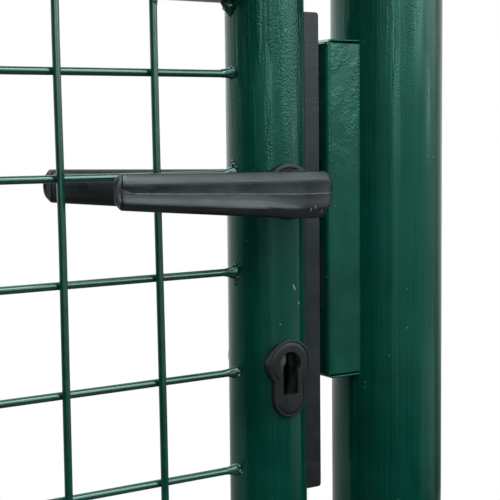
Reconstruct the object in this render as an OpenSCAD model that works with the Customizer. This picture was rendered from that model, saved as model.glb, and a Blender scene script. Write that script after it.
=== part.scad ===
// Garden gate: one round-tube leaf with welded wire mesh, hung between two round posts.
// Millimetres. X runs from the hinge post to the lock post, Y away from the front, Z up.
// The origin is the centre of the hinge post's foot, at ground level.

/* [Opening] */
// Distance between the two post axes
post_spacing = 1000; // [850:1:1400]
// Height of the posts above ground, without their caps
post_h = 1060; // [1055:1:1300]
// Overall height of the leaf
leaf_h = 1000; // [700:1:1000]
// Gap from ground to the underside of the leaf
ground_gap = 50; // [40:1:55]

/* [Tubes] */
// Outside diameter of a post
post_d = 60; // [50:1:76]
// Wall of a post
post_wall = 1.5; // [1:0.1:3]
// Outside diameter of the leaf's frame tube
frame_d = 40; // [36:1:50]
// Wall of the frame tube
frame_wall = 1.5; // [1:0.1:2]

/* [Mesh] */
// Wire diameter
wire_d = 3.8; // [3:0.1:5]
// Distance from wire to wire, both ways
mesh_pitch = 50; // [40:1:100]
// Inner edge of the top rail to the first level wire
mesh_top_margin = 35; // [20:1:60]
// Inner edge of the lock stile to the first upright wire
mesh_lock_margin = 44; // [20:1:60]
// Smallest distance from the last wire to the frame
mesh_end_margin = 20; // [10:1:40]

/* [Gaps] */
// Gap between the lock stile and the lock post
lock_gap = 28; // [26:1:40]
// Post surface to hinge axis
hinge_reach = 36; // [34:1:50]
// Hinge axis to the surface of the hinge stile
pin_reach = 25; // [22:1:40]

/* [Hinges] */
// Diameter of the hinge pins
pin_d = 12; // [10:0.5:14]
// Gap around a pin in its eye
pin_clearance = 0.08; // [0.02:0.01:0.1]
// Diameter of the eyebolt's rod
rod_d = 14; // [12:1:16]
// Outside diameter of the eye
eye_d = 28; // [26:1:32]
// Height of the eye
eye_h = 16; // [14:1:24]
// Distance from each rail's axis to its hinge
hinge_inset = 150; // [80:1:220]
// Nut size across its flats
nut_flats = 22; // [20:1:24]
// Thickness of a nut
nut_t = 11; // [8:1:13]

/* [Lock] */
// Top rail's axis down to the handle's spindle
spindle_drop = 113.5; // [110:0.5:200]
// Spindle down to the round part of the keyhole
key_drop = 86; // [72:0.5:100]
// Thickness of the lock case
case_t = 16; // [14:0.5:18]
// Height of the lock case
case_h = 165; // [155:1:180]
// Width of the faceplate
plate_w = 24; // [22:0.5:26]
// Height of the faceplate
plate_h = 245; // [230:1:260]
// Sheet thickness of the faceplate
plate_t = 2; // [1.5:0.1:3]
// How far the faceplate stands off the stile
plate_proud = 5; // [4:0.5:7]
// Diameter of the round part of the keyhole
key_round_d = 11.5; // [10:0.5:14]
// Width of the keyhole's slot
key_slot_w = 8; // [5:0.5:9]
// Centre of the round part down to the end of the slot
key_slot_drop = 15.5; // [12:0.5:17]

/* [Keeper] */
// Gap between the faceplate and the keeper
keeper_gap = 4.7; // [4:0.1:8]
// Depth of the keeper from front to back
keeper_d = 25; // [22:0.5:32]
// Height of the keeper
keeper_h = 175.6; // [165:0.2:200]
// Sheet thickness of the keeper
keeper_t = 2; // [1.5:0.1:2.5]

/* [Handles] */
// Spindle axis to the free end of a handle
handle_l = 104.5; // [90:0.5:130]
// Stile surface to the outer face of a handle
handle_reach = 23; // [20:0.5:40]
// Thickness of the grip from front to back at the hub
grip_t = 13; // [11:0.5:15]
// Thickness of the grip at its free end
grip_end_t = 7; // [6:0.5:11]
// Height of the handle at its hub
hub_h = 23.6; // [22:0.2:28]
// Height of the grip at its free end
grip_end_h = 16; // [14:0.5:20]
// Thickness of the cap in the grip's end
cap_t = 2.5; // [2:0.5:6]
// Side of the square spindle
spindle_w = 8; // [7:0.5:9]
// Radius of the rosettes behind the handles
rosette_r = 14.5; // [13:0.5:15]

/* [Hidden] */
$fn = 64;

green = [0.02, 0.2, 0.13];
dark_plastic = [0.16, 0.17, 0.17];
zinc = [0.62, 0.63, 0.64];

seat = 0.05;        // gap left where one piece is welded, pressed or screwed to another
run_gap = 0.3;      // gap between faces that turn past each other
cut = 1;            // how far a cutting shape runs past a face

post_r = post_d / 2;
frame_r = frame_d / 2;
wire_r = wire_d / 2;

// Leaf: where its tubes lie
hinge_x = post_r + hinge_reach;
hinge_stile_x = hinge_x + pin_reach + frame_r;
lock_stile_x = post_spacing - post_r - lock_gap - frame_r;
bottom_z = ground_gap + frame_r;
top_z = ground_gap + leaf_h - frame_r;
open_w = lock_stile_x - hinge_stile_x - frame_d;
open_h = top_z - bottom_z - frame_d;
bottom_hinge_z = bottom_z + hinge_inset;
top_hinge_z = top_z - hinge_inset;

// Mesh: how many wires fit
uprights = floor((open_w - mesh_lock_margin - mesh_end_margin) / mesh_pitch) + 1;
levels = floor((open_h - mesh_top_margin - mesh_end_margin) / mesh_pitch) + 1;
weld_sink = 0.2;    // how far two crossing wires sink into each other
upright_y = weld_sink - wire_d;
bar_sides = 8;      // sides of a wire

// Hinge hardware
washer_t = 4;
washer_r = rod_d;
rod_hole_r = rod_d / 2 + 0.3;
rod_end = 24;       // how far the rod sticks out of the post on the far side
pin_tail = 6;       // how far a pin shows past its eye
lift_gap = 2;       // play over the upper pin's arm, so that the lower hinge carries the leaf

// Lock
spindle_z = top_z - spindle_drop;
key_z = spindle_z - key_drop;
case_top = 38.5;    // top of the case above the spindle
case_z = spindle_z + case_top - case_h;
case_back = frame_r - frame_wall - 4;
plate_x = lock_stile_x + frame_r + plate_proud;
plate_z = spindle_z + 90.1 - plate_h;
plate_corner_r = 2.5;
latch_h = 24;
latch_t = 11.6;
bolt_h = 30;
bolt_t = 10;
bolt_l = 13;        // length of a drawn-back bolt inside the case
bolt_play = 0.2;
bolt_z = (spindle_z + key_z) / 2 - 4;
spindle_hole_r = spindle_w * 0.78;
screw_hole_r = 2.1;
screw_inset = 9;

// Keeper
keeper_x = plate_x + keeper_gap;
keeper_z = spindle_z + 77.1 - keeper_h;
flap_slit = 0.8;    // slit between the front or back sheet and each end flap
pocket_play = 3;    // how much larger a pocket is than its bolt, each way

// Plates on the faces of the stile
rosette_proud = 2;
rosette_bevel = 2;
escutcheon_proud = 1.6;
escutcheon_r = 12.4;
escutcheon_w = 17.8;
escutcheon_drop = 18.5;

// Handles
handle_y = frame_r + handle_reach;
grip_y = handle_y - grip_t;
grip_end_y = handle_y - grip_end_t;
hub_end = 14;
hub_corner_r = 8;
neck_r = 11.5;
socket_play = 0.05;
spindle_reach = handle_y - 5;
taper_start = 8;
cap_step = 0.9;

// A tube along Z with its foot at z = 0
module tube(r, wall, h) {
    difference() {
        cylinder(r = r, h = h);
        translate([0, 0, -cut]) cylinder(r = r - wall, h = h + 2 * cut);
    }
}

// The solid of the lock stile, to shape what seats on it
module stile_seat() {
    translate([lock_stile_x, 0, bottom_z]) cylinder(r = frame_r + seat, h = top_z - bottom_z, $fn = 96);
}

// The solid of a post, to shape what seats on it
module post_seat(x) {
    translate([x, 0, -cut]) cylinder(r = post_r + seat, h = post_h + 2 * cut, $fn = 96);
}

// Turn a flat outline, drawn as seen from the front, into a slab from y0 to y1
module slab(y0, y1) {
    translate([0, y1, 0]) rotate([90, 0, 0]) linear_extrude(height = y1 - y0) children();
}

// Keep children at the front, or mirror them to the back
module on_side(side) {
    scale_y = side == "front" ? 0 : 1;
    mirror([0, scale_y, 0]) children();
}

// ---- Posts ----

module post(x, drilled) {
    color(green) difference() {
        translate([x, 0, 0]) tube(post_r, post_wall, post_h);
        if (drilled) {
            for (z = [bottom_hinge_z, top_hinge_z]) translate([x - post_r - cut, 0, z])
                rotate([0, 90, 0]) cylinder(r = rod_hole_r, h = post_d + 2 * cut);
        }
    }
}

// Moulded cap: a skirt over the tube and a low crowned top
module post_cap(x) {
    skirt_h = 14;
    skirt_t = 1.6;
    crown_h = 3;
    r_in = post_r + seat;
    r_out = r_in + skirt_t;
    color(dark_plastic) translate([x, 0, post_h]) rotate_extrude($fn = 96)
        polygon([[0, seat], [r_in, seat], [r_in, -skirt_h], [r_out, -skirt_h], [r_out, 1.5],
            [r_out - 1.5, crown_h], [0, crown_h + 2.5]]);
}

// Folded sheet box: the face towards the lock, a front and a back sheet, and two end flaps
module keeper() {
    depth = post_spacing - post_r * 0.8 - keeper_x;
    sheet_drop = keeper_t + flap_slit;
    color(green) difference() {
        translate([keeper_x, -keeper_d / 2, keeper_z]) cube([depth, keeper_d, keeper_h]);
        translate([keeper_x + keeper_t, keeper_t - keeper_d / 2, keeper_z + keeper_t])
            cube([depth, keeper_d - 2 * keeper_t, keeper_h - 2 * keeper_t]);
        for (z = [keeper_z + keeper_t, keeper_z + keeper_h - sheet_drop])
            translate([keeper_x + keeper_t, -keeper_d / 2 - cut, z])
                cube([depth, keeper_d + 2 * cut, flap_slit]);
        bolt_pocket(spindle_z, latch_h, latch_t);
        bolt_pocket(bolt_z, bolt_h, bolt_t);
        post_seat(post_spacing);
    }
}

// Hole in the keeper's face for a bolt
module bolt_pocket(z, h, t) {
    size = [keeper_t + 2 * cut, t + 2 * pocket_play, h + 2 * pocket_play];
    translate([keeper_x - cut, -size[1] / 2, z - size[2] / 2]) cube(size);
}

// ---- Hinges ----

module eyebolt(z) {
    rod_start = -post_r - washer_t - nut_t - rod_end / 2;
    color(zinc) difference() {
        union() {
            translate([rod_start, 0, z]) rotate([0, 90, 0])
                cylinder(r = rod_d / 2, h = hinge_x - rod_start);
            translate([hinge_x, 0, z - eye_h / 2]) cylinder(r = eye_d / 2, h = eye_h);
        }
        translate([hinge_x, 0, z - eye_h]) cylinder(r = pin_d / 2 + pin_clearance, h = eye_h * 2);
    }
}

// Nut on the rod; dir is 1 on the gate's side of the post and -1 on the far side
module nut(z, dir) {
    near = post_r + washer_t + seat;
    x = dir > 0 ? near : -near - nut_t;
    color(zinc) translate([x, 0, z]) rotate([0, 90, 0]) difference() {
        cylinder(r = nut_flats / 2 / cos(30), h = nut_t, $fn = 6);
        translate([0, 0, -cut]) cylinder(r = rod_d / 2 + seat, h = nut_t + 2 * cut);
    }
}

// Round washer with its back shaped to the post
module washer(z, dir) {
    root = post_r * 0.8;
    x = dir > 0 ? root : -post_r - washer_t;
    color(zinc) difference() {
        translate([x, 0, z]) rotate([0, 90, 0]) cylinder(r = washer_r, h = post_r + washer_t - root);
        post_seat(0);
        translate([x - cut, 0, z]) rotate([0, 90, 0]) cylinder(r = rod_hole_r, h = post_d);
    }
}

// Bent pin welded to the hinge stile; up is 1 where the pin points up and -1 where it points down
module hinge_pin(z, up, gap) {
    arm_z = z - up * (eye_h / 2 + gap + pin_d / 2);
    shaft = eye_h + gap + pin_d / 2 + pin_tail;
    color(green) difference() {
        union() {
            translate([hinge_x, 0, arm_z]) rotate([0, 90, 0])
                cylinder(r = pin_d / 2, h = pin_reach + frame_r / 2);
            translate([hinge_x, 0, arm_z]) sphere(r = pin_d / 2);
            translate([hinge_x, 0, up > 0 ? arm_z : arm_z - shaft])
                cylinder(r = pin_d / 2, h = shaft);
        }
        translate([hinge_stile_x, 0, bottom_z])
            cylinder(r = frame_r + seat, h = top_z - bottom_z, $fn = 96);
    }
}

// ---- Frame and mesh ----

module hinge_stile() {
    color(green) mitred_stile(hinge_stile_x, 1);
}

// Upright tube cut at 45 degrees at both ends; dir points from the stile along its rails
module mitred_stile(x, dir) {
    difference() {
        translate([x, 0, bottom_z - frame_r]) tube(frame_r, frame_wall, leaf_h);
        corner_prism(x, top_z, dir, 1);
        corner_prism(x, bottom_z, dir, -1);
    }
}

// What lies on the rail's side of a mitre, as a triangular prism
module corner_prism(x, z, dir, up) {
    far = frame_d;
    slab(-far, far) translate([x, z])
        polygon([[-dir * far, up * far], [dir * far, -up * far], [dir * far * 3, up * far]]);
}

module rail(z, up) {
    color(green) difference() {
        translate([hinge_stile_x - frame_r, 0, z]) rotate([0, 90, 0])
            tube(frame_r, frame_wall, lock_stile_x - hinge_stile_x + frame_d);
        end_prism(hinge_stile_x, z, 1, up);
        end_prism(lock_stile_x, z, -1, up);
    }
}

// What lies on the stile's side of a mitre, as a triangular prism
module end_prism(x, z, dir, up) {
    far = frame_d;
    slab(-far, far) translate([x, z])
        polygon([[-dir * far, up * far], [dir * far, -up * far], [-dir * far, -up * far * 3]]);
}

module lock_stile() {
    slot_t = case_t + 1;
    color(green) difference() {
        mitred_stile(lock_stile_x, -1);
        translate([lock_stile_x, -slot_t / 2, case_z - 0.5]) cube([frame_d, slot_t, case_h + 1]);
        slab(-frame_d, frame_d) translate([lock_stile_x, spindle_z]) circle(r = spindle_hole_r + 1.5);
        slab(-frame_d, frame_d) translate([lock_stile_x, key_z]) keyhole_outline(1);
        for (z = [plate_z + screw_inset, plate_z + plate_h - screw_inset])
            translate([lock_stile_x, 0, z]) rotate([0, 90, 0])
                cylinder(r = screw_hole_r, h = frame_d);
    }
}

// Welded mesh: level wires at the back, upright wires in front of them
module wire_mesh() {
    left = hinge_stile_x + frame_r + seat * 2;
    right = lock_stile_x - frame_r - seat * 2;
    low = bottom_z + frame_r + seat;
    high = top_z - frame_r - seat;
    bar_r = wire_r / cos(180 / bar_sides);
    flat_up = 180 / bar_sides;
    color(green) union() {
        for (i = [0 : levels - 1]) translate([left, 0, high + seat - mesh_top_margin - i * mesh_pitch])
            rotate([0, 90, 0]) rotate(flat_up) cylinder(r = bar_r, h = right - left, $fn = bar_sides);
        for (i = [0 : uprights - 1])
            translate([right + 2 * seat - mesh_lock_margin - i * mesh_pitch, upright_y, low])
                rotate(flat_up) cylinder(r = bar_r, h = high - low, $fn = bar_sides);
    }
}

// ---- Lock ----

// Round hole with a slot below it, made larger all round by grow
module keyhole_outline(grow) {
    w = key_slot_w + 2 * grow;
    circle(r = key_round_d / 2 + grow);
    translate([-w / 2, -key_slot_drop - grow]) square([w, key_slot_drop + grow]);
}

module lock_case() {
    w = case_back + plate_x - plate_t - seat - lock_stile_x;
    color(zinc) difference() {
        translate([lock_stile_x - case_back, -case_t / 2, case_z]) cube([w, case_t, case_h]);
        slab(-case_t, case_t) translate([lock_stile_x, spindle_z]) circle(r = spindle_hole_r);
        slab(-case_t, case_t) translate([lock_stile_x, key_z]) keyhole_outline(0.5);
        bolt_room(spindle_z, latch_h, latch_t);
        bolt_room(bolt_z, bolt_h, bolt_t);
    }
}

// Room in the case, and through the faceplate, for a drawn-back bolt
module bolt_room(z, h, t) {
    size = [bolt_l + bolt_play + cut, t + 2 * bolt_play, h + 2 * bolt_play];
    translate([plate_x - bolt_l - bolt_play, -size[1] / 2, z - size[2] / 2]) cube(size);
}

// Shallow tray that covers the slot in the stile, its rims shaped to the tube
module faceplate() {
    root = lock_stile_x + frame_r * 0.6;
    depth = plate_x - root;
    color(dark_plastic) difference() {
        slab(-plate_w / 2, plate_w / 2) tray_outline(root, depth, 0);
        slab(plate_t - plate_w / 2, plate_w / 2 - plate_t) tray_outline(root, depth, plate_t);
        stile_seat();
        bolt_room(spindle_z, latch_h, latch_t);
        bolt_room(bolt_z, bolt_h, bolt_t);
        for (z = [plate_z + screw_inset, plate_z + plate_h - screw_inset])
            translate([root, 0, z]) rotate([0, 90, 0]) cylinder(r = screw_hole_r, h = frame_d);
    }
}

// Side view of the tray, with its two outer corners rounded, moved in by inset
module tray_outline(x, depth, inset) {
    r = plate_corner_r;
    w = depth - inset;
    h = plate_h - 2 * inset;
    translate([x, plate_z + inset]) {
        square([w - r, h]);
        translate([w - r - cut, r]) square([r + cut, h - 2 * r]);
        for (z = [r, h - r]) translate([w - r, z]) circle(r = r);
    }
}

// Latch bolt, drawn back so that its bevelled nose ends at the faceplate
module latch_bolt() {
    nose = latch_t * 0.6;
    color(zinc) translate([plate_x - bolt_l, 0, spindle_z - latch_h / 2])
        linear_extrude(height = latch_h) polygon([[0, -latch_t / 2], [bolt_l - nose, -latch_t / 2],
            [bolt_l, latch_t / 2 - latch_t * 0.4], [bolt_l, latch_t / 2], [0, latch_t / 2]]);
}

module dead_bolt() {
    color(zinc) translate([plate_x - bolt_l, -bolt_t / 2, bolt_z - bolt_h / 2])
        cube([bolt_l, bolt_t, bolt_h]);
}

// Round plate behind a handle, its back shaped to the tube
module rosette(side) {
    face = frame_r + rosette_proud;
    bevel_y = face - rosette_bevel * 2;
    color(dark_plastic) on_side(side) difference() {
        translate([lock_stile_x, 0, spindle_z]) rotate([90, 0, 0]) union() {
            cylinder(r = rosette_r, h = bevel_y);
            translate([0, 0, bevel_y])
                cylinder(r1 = rosette_r, r2 = rosette_r - rosette_bevel, h = face - bevel_y);
        }
        slab(-face - cut, 0) translate([lock_stile_x, spindle_z]) circle(r = spindle_hole_r + 0.3);
        stile_seat();
    }
}

// Key plate, round above and narrower below, its back shaped to the tube
module escutcheon(side) {
    tail_r = escutcheon_w / 2;
    color(dark_plastic) on_side(side) difference() {
        slab(-frame_r - escutcheon_proud, 0) translate([lock_stile_x, key_z]) difference() {
            union() {
                circle(r = escutcheon_r);
                translate([-tail_r, -escutcheon_drop]) square([escutcheon_w, escutcheon_drop]);
                translate([0, -escutcheon_drop]) circle(r = tail_r);
            }
            keyhole_outline(0);
        }
        stile_seat();
    }
}

// ---- Handles ----

module spindle() {
    color(zinc) slab(-spindle_reach, spindle_reach) translate([lock_stile_x, spindle_z])
        square(spindle_w, center = true);
}

// Side view of a handle about its spindle: level top edge, lower edge rising to the free end
module grip_outline() {
    top = hub_h / 2;
    root = hub_end - hub_corner_r;
    end = cap_t + seat - handle_l;
    polygon([[root, top], [end, top], [end, top - grip_end_h], [-taper_start, -top], [root, -top]]);
    translate([root - cut, hub_corner_r - top]) square([hub_corner_r + cut, hub_h - 2 * hub_corner_r]);
    for (z = [-1, 1]) translate([root, z * (top - hub_corner_r)]) circle(r = hub_corner_r);
}

// View of a handle from above, as distances from the gate's middle plane
module grip_plan() {
    root = hub_end - hub_corner_r;
    end = cap_t + seat - handle_l;
    polygon([[end, grip_end_y], [-taper_start, grip_y], [hub_end, grip_y],
        [hub_end, handle_y - hub_corner_r], [root, handle_y], [end, handle_y]]);
    translate([root, handle_y - hub_corner_r]) circle(r = hub_corner_r);
}

module handle(side) {
    color(dark_plastic) on_side(side) difference() {
        union() {
            intersection() {
                slab(-handle_y, 0) translate([lock_stile_x, spindle_z]) grip_outline();
                translate([lock_stile_x, 0, spindle_z - hub_h]) mirror([0, 1, 0])
                    linear_extrude(height = hub_h * 2) grip_plan();
            }
            slab(-grip_y - cut, -frame_r - rosette_proud - run_gap)
                translate([lock_stile_x, spindle_z]) circle(r = neck_r);
        }
        slab(-spindle_reach - socket_play, 0) translate([lock_stile_x, spindle_z])
            square(spindle_w + 2 * socket_play, center = true);
    }
}

// Cap in the grip's free end, a little smaller than the grip all round
module handle_cap(side) {
    top = hub_h / 2 - cap_step;
    h = grip_end_h - 2 * cap_step;
    color(dark_plastic) on_side(side) slab(cap_step - handle_y, -cap_step - grip_end_y)
        translate([lock_stile_x - handle_l, spindle_z + top - h]) square([cap_t, h]);
}

post(0, true);  // hinge_post
post(post_spacing, false);  // lock_post
post_cap(0);  // hinge_post_cap
post_cap(post_spacing);  // lock_post_cap
keeper();
eyebolt(top_hinge_z);  // top_eyebolt
nut(top_hinge_z, 1);  // top_inner_nut
nut(top_hinge_z, -1);  // top_outer_nut
washer(top_hinge_z, 1);  // top_inner_washer
washer(top_hinge_z, -1);  // top_outer_washer
eyebolt(bottom_hinge_z);  // bottom_eyebolt
nut(bottom_hinge_z, 1);  // bottom_inner_nut
nut(bottom_hinge_z, -1);  // bottom_outer_nut
washer(bottom_hinge_z, 1);  // bottom_inner_washer
washer(bottom_hinge_z, -1);  // bottom_outer_washer
hinge_stile();
lock_stile();
rail(top_z, 1);  // top_rail
rail(bottom_z, -1);  // bottom_rail
wire_mesh();
hinge_pin(top_hinge_z, 1, lift_gap);  // top_hinge_pin
hinge_pin(bottom_hinge_z, -1, run_gap);  // bottom_hinge_pin
lock_case();
faceplate();
latch_bolt();
dead_bolt();
rosette("front");  // front_rosette
rosette("rear");  // rear_rosette
escutcheon("front");  // front_escutcheon
escutcheon("rear");  // rear_escutcheon
spindle();
handle("front");  // front_handle
handle("rear");  // rear_handle
handle_cap("front");  // front_handle_cap
handle_cap("rear");  // rear_handle_cap
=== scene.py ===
from math import acos, cos, degrees, pi, radians, sin, sqrt, tanh

import bmesh
import bpy
from mathutils import Matrix, Vector, noise


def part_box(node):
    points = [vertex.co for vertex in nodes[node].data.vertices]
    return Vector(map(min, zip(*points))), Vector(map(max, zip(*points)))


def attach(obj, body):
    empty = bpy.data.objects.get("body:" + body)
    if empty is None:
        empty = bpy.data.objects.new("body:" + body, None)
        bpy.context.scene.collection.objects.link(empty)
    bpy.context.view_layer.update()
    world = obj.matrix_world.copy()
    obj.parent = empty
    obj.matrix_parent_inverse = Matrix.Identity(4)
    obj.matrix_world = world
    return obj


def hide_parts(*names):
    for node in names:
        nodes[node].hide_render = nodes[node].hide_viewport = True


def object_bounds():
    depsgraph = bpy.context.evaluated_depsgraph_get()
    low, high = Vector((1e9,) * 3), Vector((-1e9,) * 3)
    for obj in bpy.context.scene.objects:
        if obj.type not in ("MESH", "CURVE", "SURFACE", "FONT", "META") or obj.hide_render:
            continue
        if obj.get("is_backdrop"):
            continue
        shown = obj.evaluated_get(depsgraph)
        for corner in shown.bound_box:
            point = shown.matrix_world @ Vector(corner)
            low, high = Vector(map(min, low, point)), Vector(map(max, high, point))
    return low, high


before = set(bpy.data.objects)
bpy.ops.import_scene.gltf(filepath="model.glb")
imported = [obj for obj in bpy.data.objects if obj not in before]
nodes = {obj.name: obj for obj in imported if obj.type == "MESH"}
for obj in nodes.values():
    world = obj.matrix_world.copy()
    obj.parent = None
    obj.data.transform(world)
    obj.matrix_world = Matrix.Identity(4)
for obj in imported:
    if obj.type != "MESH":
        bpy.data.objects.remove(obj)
cad_low, cad_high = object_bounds()
scene = bpy.context.scene
scene.view_settings.view_transform = "Standard"

# ---- Studio floor ----
# A round sheet of matt pale paper is laid out flat, just under the posts' feet, and keeps the
# gate's shadow. It runs out to white further off, and throws only a little light back up.

MM = 0.001


def add_node(tree, kind, *plain, props=None, **named):
    """One shader node: plain values fill its inputs in turn, named ones by the input's name."""
    made = tree.nodes.new("ShaderNode" + kind)
    for key, value in (props or {}).items():
        setattr(made, key, value)
    by_name = [(key.replace("_", " "), value) for key, value in named.items()]
    for key, value in list(enumerate(plain)) + by_name:
        if isinstance(value, bpy.types.NodeSocket):
            tree.links.new(value, made.inputs[key])
        else:
            made.inputs[key].default_value = value
    return made


def math_node(tree, operation, *plain):
    return add_node(tree, "Math", *plain, props={"operation": operation}).outputs[0]


def times(tree, product, *factors):
    for factor in factors:
        product = math_node(tree, "MULTIPLY", product, factor)
    return product


def ramp(tree, value, low, high, to_low=0.0, to_high=1.0, kind="SMOOTHSTEP"):
    """A value's rise from low to high, scaled to run from to_low to to_high."""
    return add_node(tree, "MapRange", value, low, high, to_low, to_high,
                    props={"interpolation_type": kind}).outputs[0]


def bare_tree(owner):
    owner.use_nodes = True
    owner.node_tree.nodes.clear()
    return owner.node_tree


SEEN_PAPER = (0.55, 0.55, 0.55, 1)
SHADED_PAPER = (0.14, 0.14, 0.14, 1)
floor_r = 3.0
floor_drop = 0.5 * MM
white_from, white_at = 1.3, 2.6
floor_mesh = bpy.data.meshes.new("floor")
build = bmesh.new()
bmesh.ops.create_circle(build, cap_ends=True, radius=floor_r, segments=96)
build.to_mesh(floor_mesh)
build.free()
floor = bpy.data.objects.new("floor", floor_mesh)
floor.location = ((cad_low.x + cad_high.x) / 2, 0, -floor_drop)
scene.collection.objects.link(floor)
floor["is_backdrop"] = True

floor_paint = bpy.data.materials.new("pale_floor")
tree = bare_tree(floor_paint)
place = add_node(tree, "TexCoord").outputs["Object"]
from_gate = add_node(tree, "VectorMath", place, props={"operation": "LENGTH"}).outputs["Value"]
far_off = ramp(tree, from_gate, white_from, white_at)
behind = ramp(tree, add_node(tree, "SeparateXYZ", place).outputs["Y"], -0.6, 1.4, 0.015, 0.42)
lit_paper = add_node(tree, "BsdfDiffuse", Color=SEEN_PAPER).outputs[0]
glow = add_node(tree, "Emission", Strength=0.3).outputs[0]
white = add_node(tree, "Emission", Strength=1.0).outputs[0]
dim_room = add_node(tree, "Emission", Strength=behind).outputs[0]
seen = add_node(tree, "MixShader", far_off, add_node(tree, "AddShader", lit_paper, glow).outputs[0], white)
shaded = add_node(tree, "BsdfDiffuse", Color=SHADED_PAPER).outputs[0]
lighting = add_node(tree, "MixShader", far_off, shaded, dim_room)
by_camera = add_node(tree, "LightPath").outputs["Is Camera Ray"]
floor_mix = add_node(tree, "MixShader", by_camera, lighting.outputs[0], seen.outputs[0])
add_node(tree, "OutputMaterial", Surface=floor_mix.outputs[0])
floor_mesh.materials.append(floor_paint)

# ---- Studio light ----
# Two long soft lamps hang above the gate, one in front and one behind. White paper stands behind
# it, and the room in front has pale walls with three windows, which show in the coating's gloss.

world = bpy.data.worlds.new("studio")
scene.world = world
tree = bare_tree(world)
toward = add_node(tree, "TexCoord").outputs["Generated"]
apart = add_node(tree, "SeparateXYZ", toward)
bearing = math_node(tree, "ARCTAN2", apart.outputs["X"], apart.outputs["Y"])
slope = apart.outputs["Z"]
wall_foot = -0.9
foot_blur = 0.06
paper_span = (-50, 52, 45)
left_wall_span = (-190, -154, 1.5)


def sum_of(values):
    total = values[0]
    for value in values[1:]:
        total = math_node(tree, "ADD", total, value)
    return total


def rise(low, high, from_level, to_level):
    """How bright a wall is, by how far a look at it climbs: one level below, another above."""
    return ramp(tree, slope, low, high, from_level, to_level)


def wall_band(start, end, soft, level):
    """Light from a stretch of the walls, between two bearings in degrees clockwise from +Y."""
    low, high, blur = (radians(a) for a in (start, end, soft))
    into = ramp(tree, bearing, low - blur, low + blur)
    out_of = ramp(tree, bearing, high - blur, high + blur, 1.0, 0.0)
    return times(tree, into, out_of, rise(wall_foot - foot_blur, wall_foot + foot_blur, 0.0, 1.0), level)


paper_light = wall_band(*paper_span, rise(-0.3, 0.0, 0.15, 0.72))
paper_gloss = wall_band(*paper_span, rise(-0.3, 0.0, 0.15, 1.0))
paper_side = wall_band(52, 100, 5, rise(-0.28, 0.02, 0.02, 0.3))
wall_level = sum_of([rise(-0.27, -0.14, 0.0, 0.42), rise(-0.12, -0.02, 0.0, 0.18),
                     rise(0.0, 0.11, 0.0, 1.2), rise(0.25, 0.6, 0.0, -1.5)])
front_walls = [wall_band(100, 200, 3, wall_level), wall_band(*left_wall_span, wall_level)]
low_window = times(tree, rise(-0.03, 0.03, 0.0, 2.2), rise(0.05, 0.09, 1.0, 0.2))
windows = [wall_band(141, 157, 4, rise(0.045, 0.1, 0.0, 3.2)), wall_band(118, 128, 2, low_window),
           wall_band(-168, -154, 1.5, rise(-0.06, 0.05, 0.1, 1.9))]
dim_wall = wall_band(-154, -126, 8, times(tree, wall_level, 0.45))
low_panel = wall_band(97, 143, 5, times(tree, rise(-0.45, -0.3, 0.0, 0.36), rise(-0.22, -0.12, 1.0, 0.0)))
ceiling = [rise(-0.15, 0.05, 0.01, 0.1), rise(0.3, 0.9, 0.0, 0.5)]
room = sum_of([paper_light, paper_side, dim_wall, low_panel] + front_walls + windows + ceiling)
# the camera and clear things see plain white; gloss sees it only in the paper behind the gate
ray = add_node(tree, "LightPath").outputs
seen_white = math_node(tree, "MAXIMUM", ray["Is Camera Ray"], ray["Is Transmission Ray"])
white_share = math_node(tree, "MAXIMUM", seen_white, times(tree, ray["Is Glossy Ray"], paper_gloss))
strength = add_node(tree, "Mix", white_share, props={"data_type": "FLOAT"})
tree.links.new(room, strength.inputs[2])
strength.inputs[3].default_value = 1.0
sky = add_node(tree, "Background", Color=(1, 1, 1, 1), Strength=strength.outputs[0])
add_node(tree, "OutputWorld", Surface=sky.outputs[0])

stile_low, stile_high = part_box("lock_stile")
stile_r = (stile_high.y - stile_low.y) / 2
lock_x = stile_high.x - stile_r


def softbox(name, place, aim, width, depth, watts):
    """A soft rectangular lamp at a place, turned to light another."""
    lamp = bpy.data.lights.new(name, "AREA")
    lamp.shape = "RECTANGLE"
    lamp.size, lamp.size_y, lamp.energy = width, depth, watts
    holder = bpy.data.objects.new(name, lamp)
    holder.location = place
    holder.rotation_euler = (Vector(aim) - Vector(place)).to_track_quat("-Z", "Y").to_euler()
    holder.visible_camera = False
    scene.collection.objects.link(holder)


softbox("top_front_lamp", (0.65, -0.95, 2.05), (0.65, 0, 0.85), 1.9, 0.6, 19)
softbox("top_back_lamp", (0.4, 1.3, 2.3), (0.5, 0, 0.8), 1.9, 0.7, 16)

# ---- Camera ----
# It stands a little more than half a metre from the lock, left of it and about level with the
# handle, and is turned right, tipped slightly down and canted a little.

camera_data = bpy.data.cameras.new("camera")
camera_data.lens = 87.93
camera_data.sensor_width = 36.0
camera_data.clip_start = 0.05
camera = bpy.data.objects.new("camera", camera_data)
camera_place = (lock_x - 0.339, -0.523, 0.9433)
yaw, pitch, roll = (radians(a) for a in (32.176, 5.208, 0.623))
ahead = Vector((sin(yaw) * cos(pitch), cos(yaw) * cos(pitch), -sin(pitch)))
level = Vector((cos(yaw), -sin(yaw), 0))
down = ahead.cross(level)
right = level * cos(roll) + down * sin(roll)
turned = Matrix((right, level * sin(roll) - down * cos(roll), -ahead)).transposed()
camera.matrix_world = Matrix.Translation(camera_place) @ turned.to_4x4()
scene.collection.objects.link(camera)
scene.camera = camera

# ---- Posts ----
# Two round steel tubes, rolled from strip and seam-welded, then coated deep green with baked
# powder. They stand in the ground at their feet. The rolling leaves faint lines along them.


def new_finish(name):
    """A new material, its nodes, its shader, and the node that tells the place on the piece."""
    made = bpy.data.materials.new(name)
    made.use_nodes = True
    tree = made.node_tree
    return made, tree, tree.nodes["Principled BSDF"], add_node(tree, "TexCoord").outputs["Object"]


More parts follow.
